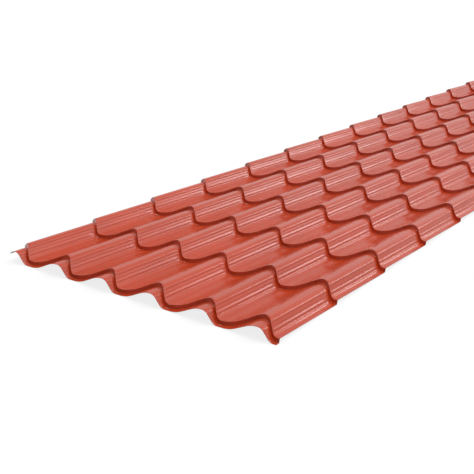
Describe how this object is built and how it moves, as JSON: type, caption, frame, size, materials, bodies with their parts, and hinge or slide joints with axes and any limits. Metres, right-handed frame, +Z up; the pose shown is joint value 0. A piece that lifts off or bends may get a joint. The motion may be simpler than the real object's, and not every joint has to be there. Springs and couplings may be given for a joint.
{
  "type": "tile effect metal roofing sheet",
  "caption": "Long coated steel roofing sheet, rolled into waves and pressed into scalloped steps so that it looks like courses of clay pantiles.",
  "frame": {"origin": "middle of the sheet's width and length, on the level floor that its lowest pans rest on", "axes": "+Y along the sheet's length, up the roof slope; +X across the waves, from the lip edge to the flank edge; +Z up, out of the weather face"},
  "size_m": [1.0914, 4.9, 0.052],
  "materials": {
    "terracotta_coating": "satin"
  },
  "bodies": {
    "root": {"roofing_sheet": "terracotta_coating"}
  },
  "joints": []
}
